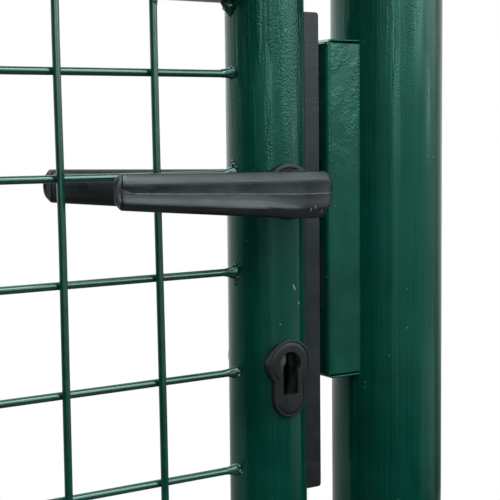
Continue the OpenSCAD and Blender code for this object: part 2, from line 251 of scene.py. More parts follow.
def fill_shader(tree, shader, colour, roughness, normal, **plain):
    """Link what varies over the surface to its shader, and set what is the same all over."""
    for key, value in (("Base Color", colour), ("Roughness", roughness), ("Normal", normal)):
        tree.links.new(value, shader.inputs[key])
    for key, value in plain.items():
        shader.inputs[key.replace("_", " ")].default_value = value


def noise_node(tree, place, scale, detail=2.0, rough=0.5):
    return add_node(tree, "TexNoise", Vector=place, Scale=scale, Detail=detail, Roughness=rough).outputs[0]


def stretched(tree, place, x, y, z):
    return add_node(tree, "VectorMath", place, (x, y, z), props={"operation": "MULTIPLY"}).outputs[0]


def mixed(tree, share, one, other):
    """A blend of two colours, each a socket or three numbers."""
    made = add_node(tree, "Mix", props={"data_type": "RGBA"})
    for socket, value in ((made.inputs[0], share), (made.inputs[6], one), (made.inputs[7], other)):
        if isinstance(value, bpy.types.NodeSocket):
            tree.links.new(value, socket)
        elif isinstance(value, tuple):
            socket.default_value = (*value, 1)
        else:
            socket.default_value = value
    return made.outputs[2]


def bumped(tree, layers):
    """Stack bumps, each a height socket and its depth in metres, and return the last normal."""
    normal = None
    for level_of, depth in layers:
        bump = add_node(tree, "Bump", Strength=1.0, Distance=depth, Height=level_of)
        if normal is not None:
            tree.links.new(normal, bump.inputs["Normal"])
        normal = bump.outputs[0]
    return normal


GREEN = (0.0014, 0.0440, 0.0305)
DEEP_GREEN = (0.0005, 0.0250, 0.0170)
DUSTY_GREEN = (0.0200, 0.0600, 0.0440)
CHIPPED_GREEN = (0.1300, 0.2300, 0.1850)
GREEN_GLOSS = (0.38, 1.0, 0.79, 1)
PALE_GLOSS = (0.65, 0.95, 0.88, 1)
splash_height = 0.16


def scrape_and_shade_oval(tree, place, centre, half_size, lean):
    """An oval mark at that place, leaning that many degrees, 1 inside and 0 outside: a scrape, and on the
    lock case a patch of painted shade.
    """
    local = add_node(tree, "Mapping", place, Location=centre, Rotation=(0, radians(lean), 0),
                     Scale=half_size, props={"vector_type": "TEXTURE"}).outputs[0]
    away = add_node(tree, "VectorMath", local, props={"operation": "LENGTH"}).outputs["Value"]
    return ramp(tree, away, 0.7, 1.15, 1.0, 0.0)


def powder_coat(name, grain, lines, peel, peel_depth=70e-6, roughness=0.1, tint=GREEN_GLOSS, ior=1.5,
                thick=(0.80, 1.0), patches=(34.0, 34.0, 34.0), marks=()):
    """Baked green powder: clouded colour, orange peel of that size, lines left by rolling, scattered
    chips, and dust splashed up from the ground.

    grain is how fast the rolled lines change along x, y and z; lines is their depth in metres. The
    peel is strongest above the height where the powder went on thick, and comes in patches."""
    made, tree, shader, place = new_finish(name)
    height = add_node(tree, "SeparateXYZ", place).outputs["Z"]
    cloud = noise_node(tree, place, 14.0, 4.0, 0.6)
    streak = noise_node(tree, stretched(tree, place, *grain), 1.0, 3.0, 0.6)
    fine = noise_node(tree, place, 1 / peel, 2.0, 0.5)
    run = noise_node(tree, stretched(tree, place, *patches), 1.0, 3.0)
    patch = ramp(tree, run, 0.42, 0.62, 0.12, 1.0)
    coated = times(tree, patch, ramp(tree, height, *thick, 0.12, 1.0))
    tone = math_node(tree, "ADD", times(tree, cloud, 0.7), times(tree, streak, 0.5))
    colour = mixed(tree, ramp(tree, tone, 0.46, 0.74), DEEP_GREEN, GREEN)
    specks = ramp(tree, noise_node(tree, place, 120.0, 5.0, 0.7), 0.42, 0.7)
    splash = times(tree, ramp(tree, height, 0.0, splash_height, 0.55, 0.0), specks)
    colour = mixed(tree, splash, colour, DUSTY_GREEN)
    spots = add_node(tree, "TexVoronoi", Vector=place, Scale=230.0).outputs
    chosen = ramp(tree, add_node(tree, "SeparateColor", spots["Color"]).outputs[0], 0.94, 0.95)
    chips = times(tree, chosen, ramp(tree, spots["Distance"], 0.05, 0.1, 0.8, 0.0))
    for mark in marks:
        chips = math_node(tree, "MAXIMUM", chips, scrape_and_shade_oval(tree, place, *mark))
    colour = mixed(tree, chips, colour, CHIPPED_GREEN)
    uneven = noise_node(tree, place, 45.0, 4.0, 0.65)
    gloss = ramp(tree, uneven, 0.3, 0.75, roughness - 0.02, roughness + 0.07)
    dulled = math_node(tree, "ADD", gloss, times(tree, splash, 0.4))
    dents = bumped(tree, [(times(tree, fine, coated), peel_depth), (streak, lines)])
    fill_shader(tree, shader, colour, dulled, dents, Specular_Tint=tint, IOR=ior)
    return made


def coat_node(name, finish):
    for held in nodes[name].material_slots:
        held.material = finish


post_coat = powder_coat("green_coat_posts", (900.0, 900.0, 12.0), 60e-6, 0.9 * MM, 200e-6,
                        thick=(0.94, 1.02), patches=(230.0, 230.0, 16.0))
for name in ("hinge_post", "lock_post"):
    coat_node(name, post_coat)

# ---- Post caps ----
# Injection-moulded dark plastic caps pushed over the posts. Each has a skirt with a rolled
# lower lip, a rounded shoulder and a low crown, and covers the tube's open end.


def full_turn(count):
    return [2 * pi * i / count for i in range(count)]


def spaced(start, end, steps):
    """Evenly spaced values, both ends included."""
    return [start + (end - start) * i / steps for i in range(steps + 1)]


def ring(radius, z, count):
    return [Vector((radius * cos(a), radius * sin(a), z)) for a in full_turn(count)]


def skin(rings, closed=False, build=None):
    """Faces between one ring of points and the next, and over the end rings unless it is closed."""
    if build is None:
        build = bmesh.new()
    rows = [[build.verts.new(point) for point in loop] for loop in rings]
    pairs = list(zip(rows, rows[1:])) + ([(rows[-1], rows[0])] if closed else [])
    for low_row, high_row in pairs:
        for i in range(len(low_row)):
            j = (i + 1) % len(low_row)
            build.faces.new((low_row[i], low_row[j], high_row[j], high_row[i]))
    if not closed:
        build.faces.new(rows[0])
        build.faces.new(rows[-1])
    return build


def piece(name, build, body, finish, sharp=35):
    """Make a named piece of a mesh: it rides on a body and has one finish."""
    bmesh.ops.recalc_face_normals(build, faces=build.faces)
    mesh = bpy.data.meshes.new(name)
    build.to_mesh(mesh)
    build.free()
    mesh.shade_smooth()
    mesh.set_sharp_from_angle(angle=radians(sharp))
    made = bpy.data.objects.new(name, mesh)
    scene.collection.objects.link(made)
    mesh.materials.append(finish)
    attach(made, body)
    return made


def arc(cx, cy, radius, start, end, steps):
    """Points on an arc, angles in degrees, both ends included."""
    turns = [radians(a) for a in spaced(start, end, steps)]
    return [(cx + radius * cos(a), cy + radius * sin(a)) for a in turns]


def shift(build, x=0.0, y=0.0, z=0.0):
    bmesh.ops.translate(build, verts=build.verts, vec=(x, y, z))


def moulded_plastic(name, colour, pale, grain=0.35 * MM, roughness=0.46, ior=1.45):
    """Dark nylon: fine spark-eroded grain, slightly uneven gloss, pale rubbed scuffs."""
    made, tree, shader, place = new_finish(name)
    cloud = noise_node(tree, place, 60.0, 4.0, 0.65)
    rubbed = noise_node(tree, stretched(tree, place, 60.0, 220.0, 420.0), 1.0, 4.0, 0.7)
    scuff = ramp(tree, times(tree, rubbed, noise_node(tree, place, 38.0, 2.0)), 0.31, 0.42)
    worn = mixed(tree, ramp(tree, cloud, 0.35, 0.75, 0.0, 0.35), colour, pale)
    grains = noise_node(tree, place, 1 / grain, 2.0, 0.6)
    fill_shader(tree, shader, mixed(tree, times(tree, scuff, 0.5), worn, pale),
                ramp(tree, cloud, 0.3, 0.75, roughness - 0.06, roughness + 0.1),
                bumped(tree, [(grains, 12e-6), (cloud, 25e-6), (scuff, 10e-6)]),
                Specular_Tint=(0.82, 0.98, 1.0, 1), IOR=ior)
    return made


BLACK_NYLON = (0.0044, 0.0058, 0.0064)
RUBBED_NYLON = (0.0260, 0.0300, 0.0310)
cap_nylon = moulded_plastic("dark_plastic_caps", BLACK_NYLON, RUBBED_NYLON, roughness=0.5)
cap_wall = 1.6 * MM
cap_crown = 5.5 * MM
crown_rise = 2.4 * MM
cap_skirt = 14 * MM
lip_r = 0.8 * MM
shoulder_r = 2.6 * MM
for post in ("hinge_post", "lock_post"):
    post_low, post_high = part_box(post)
    cap_low, cap_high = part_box(post + "_cap")
    outer = (cap_high.x - cap_low.x) / 2
    inner = outer - cap_wall
    base = post_high.z
    crown_edge = base + cap_crown - crown_rise
    profile = [(2.0 * MM, base + 0.1 * MM), (inner, base + 0.1 * MM), (inner, base - cap_skirt + lip_r)]
    profile += arc(outer - lip_r, base - cap_skirt + lip_r, lip_r, 180, 360, 6)
    profile += [(outer, crown_edge - shoulder_r)]
    profile += arc(outer - shoulder_r, crown_edge - shoulder_r, shoulder_r, 15, 80, 6)
    crown_r = outer - shoulder_r
    profile += [(crown_r * s, crown_edge + crown_rise * (1 - s * s))
                for s in (0.85, 0.7, 0.55, 0.4, 0.25, 0.12, 0.04)]
    build = skin([ring(r, z, 72) for r, z in profile])
    shift(build, x=(post_low.x + post_high.x) / 2)
    cap = piece(post + "_cap_moulding", build, "posts", cap_nylon, sharp=50)
    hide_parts(post + "_cap")

# ---- Keeper ----
# A box folded from 2 mm steel sheet and welded to the lock post: a web with two bolt pockets, a front
# and a back sheet with rounded bends, and end flaps that stop a slit short of those sheets.


def applied(target, modifier_type, **settings):
    """Add a modifier to a piece and bake its result into the mesh."""
    modifier = target.modifiers.new(modifier_type.lower(), modifier_type)
    for key, value in settings.items():
        setattr(modifier, key, value)
    graph = bpy.context.evaluated_depsgraph_get()
    graph.update()
    result = bpy.data.meshes.new_from_object(target.evaluated_get(graph))
    target.modifiers.clear()
    target.data = result
    return target


def block(low_corner, high_corner):
    """A loose box to cut with."""
    build = bmesh.new()
    size = Vector(high_corner) - Vector(low_corner)
    bmesh.ops.create_cube(build, size=1.0)
    bmesh.ops.scale(build, verts=build.verts, vec=size)
    shift(build, *((Vector(high_corner) + Vector(low_corner)) / 2))
    return loose(build)


def loose(build):
    """A mesh build as an object of its own, which no piece keeps."""
    bmesh.ops.recalc_face_normals(build, faces=build.faces)
    mesh = bpy.data.meshes.new("cutter")
    build.to_mesh(mesh)
    build.free()
    made = bpy.data.objects.new("cutter", mesh)
    scene.collection.objects.link(made)
    return made


def carve(target, cutters, sharp=35):
    """Cut loose shapes out of a piece, then drop them."""
    for cutter in cutters:
        applied(target, "BOOLEAN", object=cutter, operation="DIFFERENCE", solver="EXACT")
        bpy.data.objects.remove(cutter)
    target.data.shade_smooth()
    target.data.set_sharp_from_angle(angle=radians(sharp))
    return target


def flat_faced(target):
    """Let broad flat faces shade flat right up to their small rounded edges."""
    return applied(target, "WEIGHTED_NORMAL", mode="FACE_AREA", weight=90, keep_sharp=True)


def join_into(build, other):
    """Move another mesh build's faces into this one."""
    mesh = bpy.data.meshes.new("part")
    other.to_mesh(mesh)
    other.free()
    build.from_mesh(mesh)
    bpy.data.meshes.remove(mesh)


def bolt_openings(from_x, to_x, side_play, end_play):
    """Cutters for the openings of both bolts, with that much play beside and above a bolt."""
    cutters = []
    for name in ("latch_bolt", "dead_bolt"):
        low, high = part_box(name)
        cutters.append(block((from_x, low.y - side_play, low.z - end_play),
                             (to_x, high.y + side_play, high.z + end_play)))
    return cutters


sheet_coat = powder_coat("green_coat_sheet", (60.0, 60.0, 40.0), 10e-6, 1.2 * MM, 230e-6, 0.16,
                         thick=(0.90, 0.98), patches=(90.0, 90.0, 90.0))
keeper_low, keeper_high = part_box("keeper")
post_low, post_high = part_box("lock_post")
post_r = (post_high.x - post_low.x) / 2
post_x = post_low.x + post_r
sheet_t = 2.0 * MM
flap_t = 1.1 * MM
bend_r = 3.0 * MM
slit = 0.8 * MM
seat = 0.06 * MM
half_d = keeper_high.y
web_x = keeper_low.x


def post_face(y):
    """Where a sheet at that depth meets the post."""
    return post_x - sqrt((post_r + seat) ** 2 - y * y)


def channel_section(inset):
    """Outline of the folded front, web and back sheet, seen from above, drawn in by inset."""
    o, t = half_d - inset, sheet_t - 2 * inset
    x = web_x + inset
    outer = [(post_face(o) - inset, -o)] + arc(x + bend_r, -o + bend_r, bend_r, 270, 180, 6)
    outer += arc(x + bend_r, o - bend_r, bend_r, 180, 90, 6) + [(post_face(o) - inset, o)]
    i = o - t
    small = bend_r - t
    inner = [(post_face(i) - inset, i)] + arc(x + t + small, i - small, small, 90, 180, 4)
    inner += arc(x + t + small, -i + small, small, 180, 270, 4) + [(post_face(i) - inset, -i)]
    return outer + inner


sheet_edge = 0.25 * MM
channel_low = keeper_low.z + flap_t + slit
channel_high = keeper_high.z - flap_t - slit
cuts = [(channel_low, sheet_edge), (channel_low + sheet_edge, 0.0)]
cuts += [(z, 0.0) for z in spaced(channel_low, channel_high, 12)[1:-1]]
cuts += [(channel_high - sheet_edge, 0.0), (channel_high, sheet_edge)]
build = skin([[Vector((x, y, z)) for x, y in channel_section(inset)] for z, inset in cuts])
for side, end_z in ((-1, keeper_low.z), (1, keeper_high.z)):
    # an end flap: it turns over from the web and its free edge is shaped to the post
    across = [half_d * s for s in (-1.0, -0.995, -0.985, -0.97, -0.5, 0.0, 0.5, 0.97, 0.985, 0.995, 1.0)]
    rings = []
    for y in across:
        trim = 0.45 * MM * (max(0.0, abs(y) / half_d - 0.97) / 0.03) ** 2
        bend = arc(web_x + bend_r, end_z - side * bend_r, bend_r - trim, 180, 180 - side * 90, 6)
        inside = arc(web_x + bend_r, end_z - side * bend_r, bend_r - flap_t + trim, 180 - side * 90, 180, 4)
        free = post_face(y)
        outline = bend + [(free, end_z - side * trim), (free, end_z - side * (flap_t - trim))] + inside
        rings.append([Vector((x, y, z)) for x, z in outline])
    join_into(build, skin(rings))
keeper = piece("keeper_box", build, "posts", sheet_coat)
pocket_side_play = 0.8 * MM
pocket_end_play = 3.0 * MM
flat_faced(carve(keeper, bolt_openings(web_x - 1 * MM, web_x + 3 * MM, pocket_side_play, pocket_end_play)))
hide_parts("keeper")

# ---- Hinge eyebolts ----
# Two forged and galvanised eyebolts through the hinge post. The rod has a coarse thread at both
# ends of the post for a nut and saddle washer each side, and ends in a round eye for the pin.


def galvanised(name, bright, dull, grain=2.2 * MM, roughness=0.34):
    """Zinc on steel: patches of crystals in two greys, dull in places, with fine pitting."""
    made, tree, shader, place = new_finish(name)
    crystals = add_node(tree, "TexVoronoi", Vector=place, Scale=1 / grain).outputs["Color"]
    facet = add_node(tree, "SeparateColor", crystals).outputs[0]
    cloud = noise_node(tree, place, 90.0, 5.0, 0.65)
    share = math_node(tree, "ADD", times(tree, facet, 0.45), times(tree, cloud, 0.8))
    pits = noise_node(tree, place, 900.0, 3.0, 0.6)
    fill_shader(tree, shader, mixed(tree, ramp(tree, share, 0.3, 0.95), bright, dull),
                ramp(tree, share, 0.25, 0.95, roughness - 0.08, roughness + 0.16),
                bumped(tree, [(pits, 8e-6), (cloud, 30e-6)]), Metallic=1.0)
    return made


def across_x(build):
    """Turn what was made about Z so that it lies along X."""
    turned = Matrix.Rotation(radians(90), 3, "Y")
    bmesh.ops.rotate(build, verts=build.verts, cent=(0, 0, 0), matrix=turned)


BRIGHT_ZINC = (0.66, 0.67, 0.68)
DULL_ZINC = (0.36, 0.37, 0.38)
zinc = galvanised("zinc_hardware", BRIGHT_ZINC, DULL_ZINC)
thread_pitch = 2.0 * MM
thread_depth = 1.1 * MM
thread_steps = 8
eye_edge = 2.4 * MM
bore_edge = 0.8 * MM
hinge_low, hinge_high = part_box("hinge_post")
hinge_post_r = (hinge_high.x - hinge_low.x) / 2
for place_name in ("top", "bottom"):
    bolt_low, bolt_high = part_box(place_name + "_eyebolt")
    pin_low, pin_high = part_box(place_name + "_hinge_pin")
    eye_r = bolt_high.y
    eye_x = bolt_high.x - eye_r
    eye_half = (bolt_high.z - bolt_low.z) / 2
    hinge_z = (bolt_high.z + bolt_low.z) / 2
    bore_r = eye_x - pin_low.x + 0.08 * MM
    rod_r = eye_r / 2
    core_r = rod_r - thread_depth
    neck_start = eye_x - eye_r - 2.0 * MM
    threads = ((bolt_low.x, -hinge_post_r - 13 * MM), (hinge_post_r + 2.5 * MM, neck_start))
    rings = [ring(core_r - 0.6 * MM, bolt_low.x, 40)]
    for start, end in threads:
        for along in spaced(start, end, round((end - start) / thread_pitch * thread_steps)):
            inward = min(along - bolt_low.x, neck_start - along)
            rings.append([])
            for turn in full_turn(40):
                phase = (along / thread_pitch - turn / (2 * pi)) % 1.0
                crest = min(1.0, max(0.0, 1.35 * abs(2 * phase - 1) - 0.15))
                depth = thread_depth * (1 - crest)
                if inward < thread_depth:
                    depth = max(depth, thread_depth - inward) if along < 0 else depth * inward / thread_depth
                thread_r = rod_r - depth
                rings[-1].append(Vector((thread_r * cos(turn), thread_r * sin(turn), along)))
    for along, radius in ((0.4, 0.0), (1.6, 0.35), (2.8, 0.8), (4.0, 1.0)):
        rings.append(ring(rod_r + radius * (eye_half - rod_r), neck_start + along * MM, 40))
    rings.append(ring(eye_half * 0.9, eye_x - bore_r - 2.0 * MM, 40))
    build = skin(rings)
    across_x(build)
    profile = [(bore_r, -eye_half + bore_edge), (bore_r + bore_edge, -eye_half)]
    profile += arc(eye_r - eye_edge, -eye_half + eye_edge, eye_edge, 270, 360, 6)
    profile += arc(eye_r - eye_edge, eye_half - eye_edge, eye_edge, 0, 90, 6)
    profile += [(bore_r + bore_edge, eye_half), (bore_r, eye_half - bore_edge)]
    eye = skin([ring(r, z, 64) for r, z in profile], closed=True)
    shift(eye, x=eye_x)
    join_into(build, eye)
    shift(build, z=hinge_z)
    eyebolt = piece(place_name + "_eyebolt_forging", build, "posts", zinc)
    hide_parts(place_name + "_eyebolt")

# ---- Hinge nuts and washers ----
# Galvanised hexagon nuts, chamfered on both faces, tightened against saddle washers whose backs
# are shaped to the post. The washers keep the shape that they have in the frame.

chamfer_slope = 1.73
hole_edge = 0.9 * MM
for name in ("top_inner_nut", "top_outer_nut", "bottom_inner_nut", "bottom_outer_nut"):
    nut_low, nut_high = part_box(name)
    flat_r = nut_high.y
    half_t = (nut_high.x - nut_low.x) / 2
    hole_r = rod_r + 0.05 * MM
    face_r = flat_r * 0.95
    rings = []
    for side in (-1, 1):
        corner_ring = []
        for turn in full_turn(72):
            reach = flat_r / cos((turn % (pi / 3)) - pi / 6)
            drop = (reach - face_r) / chamfer_slope
            corner_ring.append(Vector((reach * cos(turn), reach * sin(turn),
                                       side * (half_t - drop))))
        face_rings = [ring(hole_r, side * (half_t - hole_edge), 72),
                      ring(hole_r + hole_edge, side * half_t, 72), ring(face_r, side * half_t, 72),
                      corner_ring]
        rings += face_rings if side < 0 else face_rings[::-1]
    build = skin(rings, closed=True)
    across_x(build)
    shift(build, *((nut_low + nut_high) / 2))
    nut = piece(name + "_hex", build, "posts", zinc, sharp=25)
    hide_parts(name)
for name in ("top_inner_washer", "top_outer_washer", "bottom_inner_washer", "bottom_outer_washer"):
    coat_node(name, zinc)

# ---- Hinge pins ----
# Round steel bars bent to a right angle. One arm is welded to the hinge stile and the other
# turns in its eye: the lower one carries the leaf and the upper one keeps it from being lifted.


def swept(path, radii, side, count, closed=False, build=None):
    """A round bar along a path, of one radius or one for each point. side is square to the path."""
    total = len(path)
    radii = radii if isinstance(radii, list) else [radii] * total
    sides = side if isinstance(side, list) else [side] * total
    rings = []
    for i in range(total):
        before = path[i - 1] if closed or i else path[i]
        after = path[(i + 1) % total] if closed or i < total - 1 else path[i]
        across = (after - before).cross(sides[i]).normalized()
        facing = across.cross(after - before).normalized()
        rings.append([path[i] + radii[i] * (across * cos(a) + facing * sin(a))
                      for a in full_turn(count)])
    return skin(rings, closed, build)


def rippled(build, size, depth, seed):
    """Push a surface in and out, as the waves and spatter of a weld do."""
    offset = Vector((seed * 7.31, seed * 3.77, seed * 1.93))
    build.normal_update()
    for vert in build.verts:
        lump = noise.noise(vert.co / size + offset) + 0.5 * noise.noise(vert.co * 2.3 / size - offset)
        vert.co += vert.normal * lump * depth


pin_coat = powder_coat("green_coat_pins", (90.0, 90.0, 90.0), 12e-6, 1.2 * MM, 40e-6, 0.14)
weld_coat = powder_coat("green_coat_welds", (300.0, 300.0, 300.0), 10e-6, 0.9 * MM, 20e-6, 0.12,
                        PALE_GLOSS, 1.7)
CROSSWISE = Vector((0, 1, 0))
hinge_stile_low, hinge_stile_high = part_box("hinge_stile")
tube_r = (hinge_stile_high.y - hinge_stile_low.y) / 2
hinge_stile_x = hinge_stile_high.x - tube_r
pin_bend = 6.4 * MM
tip_edge = 1.4 * MM
for seed, place_name in enumerate(("top", "bottom")):
    pin_low, pin_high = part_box(place_name + "_hinge_pin")
    pin_r = pin_high.y
    pin_x = pin_low.x + pin_r
    up = 1 if place_name == "top" else -1
    arm_z = pin_low.z + pin_r if up > 0 else pin_high.z - pin_r
    tip_z = pin_high.z if up > 0 else pin_low.z
    elbow = arc(pin_x + pin_bend, arm_z + up * pin_bend, pin_bend, -90 * up, -180 * up, 10)
    path = [Vector((hinge_stile_x - tube_r + 0.5 * MM, 0, arm_z))] + [Vector((x, 0, z)) for x, z in elbow]
    path += [Vector((pin_x, 0, tip_z - up * tip_edge)), Vector((pin_x, 0, tip_z))]
    build = swept(path, [pin_r] * (len(path) - 1) + [pin_r - tip_edge], CROSSWISE, 32)
    turns = full_turn(48)
    around = [Vector((0, sin(a), cos(a))) for a in turns]
    reach = pin_r + 0.6 * MM
    seam = [Vector((hinge_stile_x - sqrt(tube_r ** 2 - (reach * way.y) ** 2) - 0.4 * MM,
                    reach * way.y, arm_z + reach * way.z)) for way in around]
    swell = [(2.1 + 0.35 * sin(9 * a + seed)) * MM for a in turns]
    bead = swept(seam, swell, around, 12, closed=True)
    rippled(bead, 2.2 * MM, 0.45 * MM, seed + 1)
    join_into(build, bead)
    pin = piece(place_name + "_pin_bar", build, "leaf", pin_coat, sharp=40)
    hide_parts(place_name + "_hinge_pin")

# ---- Frame ----
# Four round tubes, mitred and welded at the corners and powder coated with the mesh in place.
# The lock stile is slotted for the lock. A rippled weld bead runs round each mitre.

stile_coat = powder_coat("green_coat_stiles", (1000.0, 1000.0, 14.0), 60e-6, 1.1 * MM, 380e-6,
                         thick=(0.91, 0.985), patches=(230.0, 230.0, 22.0),
                         marks=[((lock_x + 3.6 * MM, -20 * MM, 0.8689), (0.45 * MM, 6 * MM, 1.9 * MM), -27),
                                ((lock_x + 7.0 * MM, -18 * MM, 0.8605), (0.4 * MM, 6 * MM, 0.9 * MM), 0)])
rail_coat = powder_coat("green_coat_rails", (14.0, 1000.0, 1000.0), 12e-6, 1.3 * MM, 40e-6)
for name in ("hinge_stile", "lock_stile"):
    coat_node(name, stile_coat)
for name in ("top_rail", "bottom_rail"):
    coat_node(name, rail_coat)
top_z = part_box("top_rail")[1].z - tube_r
bottom_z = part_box("bottom_rail")[0].z + tube_r
corners = [(stile, end, x, out_x, z, out_z)
           for stile, x, out_x in (("hinge", hinge_stile_x, -1), ("lock", lock_x, 1))
           for end, z, out_z in (("top", top_z, 1), ("bottom", bottom_z, -1))]
bead_r = tube_r - 0.7 * MM
# along the fillet: how far across the corner and up from it, and how thick, in mm
fillet_run = [(-0.4, 6.8, 0.6), (0.0, 5.4, 1.3), (0.3, 3.9, 2.1), (0.7, 2.5, 2.9), (1.3, 1.3, 3.4),
              (2.2, 0.6, 2.9), (3.3, 0.1, 2.1), (4.4, -0.2, 1.3), (5.4, -0.4, 0.6)]
for seed, (stile, end, x, out_x, z, out_z) in enumerate(corners):
    turns = full_turn(150)
    outward = [Vector((out_x * cos(a) * 0.7, sin(a), out_z * cos(a) * 0.7)) for a in turns]
    seam = [Vector((x + out_x * bead_r * cos(a), bead_r * sin(a),
                    z + out_z * bead_r * cos(a))) for a in turns]
    waves = [0.22 * sin(36 * a + seed) + 0.25 * noise.noise(Vector((3 * a, seed, 0))) for a in turns]
    build = swept(seam, [(1.55 + wave) * MM for wave in waves], outward, 12, closed=True)
    # the two stretches of bead meet in a tapered fillet across the inner corner
    inner_x, inner_z = x - out_x * tube_r, z - out_z * tube_r
    path = [Vector((inner_x - out_x * a * MM, 0, inner_z - out_z * b * MM)) for a, b, thick in fillet_run]
    fillet = swept(path, [thick * MM for a, b, thick in fillet_run], CROSSWISE, 20)
    rippled(fillet, 4.0 * MM, 0.12 * MM, seed + 11)
    join_into(build, fillet)
    piece(stile + "_" + end + "_mitre_weld", build, "leaf", weld_coat, sharp=60)

# ---- Wire mesh ----
# Level wires with upright wires in front of them, spot-welded where they cross. The bars were
# cut from coil, so none is quite straight. Each end is fused to its tube by a lumpy weld bead.

wire_coat = powder_coat("green_coat_wires", (260.0, 260.0, 260.0), 8e-6, 1.6 * MM, 20e-6, 0.14,
                        PALE_GLOSS, 1.75)
mesh_low, mesh_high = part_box("wire_mesh")
wire_r = mesh_high.y
upright_y = mesh_low.y + wire_r
wire_pitch = 50 * MM
top_margin = 35 * MM
lock_margin = 44 * MM
open_left = hinge_stile_x + tube_r
open_right = lock_x - tube_r
open_top = top_z - tube_r
open_bottom = bottom_z + tube_r
levels = [open_top - top_margin - wire_pitch * i for i in range(18)]
uprights = [open_right - lock_margin - wire_pitch * i for i in range(15)]
drift_span = 0.2
drift_until = 0.25
# how far the top five level wires drift up at the lock stile and 200 mm before it, in mm
drift = [(0.45, -0.65), (0.7, 0.7), (1.5, 0.8), (0.15, -1.2), (-0.2, -1.0)]


def level_rise(i, x):
    """How far a level wire lies above its true height at x."""
    free = 0.8 * noise.noise(Vector((x / 0.23, i * 5.7, 1.5)))
    if i >= len(drift):
        return free * MM
    near, far = drift[i]
    told = near + (far - near) * min(1.0, (open_right - x) / drift_span)
    fade = min(1.0, max(0.0, (open_right - drift_until - x) / drift_span))
    return (told * (1 - fade) + free * fade) * MM


def upright_shift(i, z):
    """How far an upright wire lies to the right of its true place at that height."""
    if i == 0:
        return -1.2 * tanh((z - 0.885) / 0.11) * MM
    if i == 1:
        return -0.9 * min(1.0, max(0.0, (z - 0.9) / 0.085)) * MM
    return 0.9 * noise.noise(Vector((z / 0.31, i * 4.3, 9.5))) * MM


build = bmesh.new()
for i, z in enumerate(levels):
    xs = spaced(open_left - 0.4 * MM, open_right + 0.4 * MM, 40)
    swept([Vector((x, 0, z + level_rise(i, x))) for x in xs], wire_r, CROSSWISE, 16, build=build)
for i, x in enumerate(uprights):
    zs = spaced(open_bottom - 0.6 * MM, open_top + 0.6 * MM, 40)
    path = [Vector((x + upright_shift(i, z), upright_y, z)) for z in zs]
    swept(path, wire_r, CROSSWISE, 16, build=build)
wires = piece("mesh_wires", build, "leaf", wire_coat)
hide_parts("wire_mesh")


def end_weld(build, end, inward, spread, reach, seed, drips=()):
    """Fuse a wire to its tube: the wire flares out along the tube, with lumps of weld on its front.

    end is where the wire's axis meets the tube, inward points along the wire away from the tube,
    spread is the direction in which the bead is tall, and drips are further lumps."""

    def chance(k):
        return noise.cell(Vector((seed * 1.37 + 0.5, k * 2.11 + 0.5, 0.5)))

    size = 0.88 + 0.26 * chance(0)
    lift = (0.12 + 0.2 * chance(1)) * reach
    growth = reach - wire_r
    rings = []
    for s in (0.0, 0.2, 0.36, 0.5, 0.62, 0.74, 0.86, 1.0):
        tall = wire_r * 0.9 + growth * size * s ** 2.2
        deep = wire_r * 0.9 + 0.55 * growth * size * s ** 2.4
        middle = (end + inward * (2.4 * reach * (1 - s) - 1.2 * MM) + spread * lift * s ** 2
                  - CROSSWISE * 0.4 * growth * s ** 2)
        rings.append([middle + spread * tall * cos(a) - CROSSWISE * deep * sin(a)
                      for a in full_turn(28)])
    flare = skin(rings)
    rippled(flare, 1.9 * MM, 0.34 * MM, seed)
    join_into(build, flare)
    lumps = [(0.15 + 0.75 * chance(2), 0.5, 0.34), (0.1 - 0.6 * chance(3), 0.9 + 0.5 * chance(4), 0.3),
             (0.75 * chance(5), 1.0 + 0.5 * chance(6), 0.26)] + list(drips)
    for k, (along, aside, radius) in enumerate(lumps):
        lump = bmesh.new()
        bmesh.ops.create_icosphere(lump, subdivisions=3, radius=radius * reach)
        out = aside * 0.7 * reach
        back = tube_r - sqrt(tube_r ** 2 - out ** 2)
        shift(lump, *(end + spread * along * reach - CROSSWISE * out - inward * (back + 0.1 * MM)))
        rippled(lump, 1.2 * MM, 0.3 * MM, seed + 0.3 * k)
        join_into(build, lump)


along_x, along_z = Vector((1, 0, 0)), Vector((0, 0, 1))
level_bead = 4.2 * MM
upright_bead = 3.1 * MM
# lumps that ran down or up from three of the welds: how far along, aside and how thick, by the bead
drips = {1: [(1.5, 0.2, 0.24), (1.15, 0.5, 0.3), (0.8, 1.1, 0.25)],
         2: [(-1.35, 0.7, 0.3), (-0.85, 0.75, 0.24)], 4: [(-0.25, 1.5, 0.24)]}
build = bmesh.new()
for i, z in enumerate(levels):
    for k, (x, inward) in enumerate(((open_right, -along_x), (open_left, along_x))):
        end = Vector((x, 0, z + level_rise(i, x)))
        end_weld(build, end, inward, along_z, level_bead, i * 2 + k, drips.get(i, ()))
piece("level_wire_welds", build, "leaf", weld_coat, sharp=60)
build = bmesh.new()
seat_z = tube_r - sqrt(tube_r ** 2 - upright_y ** 2)
for i, x in enumerate(uprights):
    for k, (z, inward) in enumerate(((open_top + seat_z, -along_z), (open_bottom - seat_z, along_z))):
        end = Vector((x + upright_shift(i, z), upright_y, z))
        end_weld(build, end, inward, along_x, upright_bead, 100 + i * 2 + k)
piece("upright_wire_welds", build, "leaf", weld_coat, sharp=60)

# ---- Lock case and bolts ----
# A narrow lock case of galvanised sheet, pushed into the slot of the lock stile. Its sprung latch
# bolt has a bevelled nose, the dead bolt is square, and both are shown drawn back.

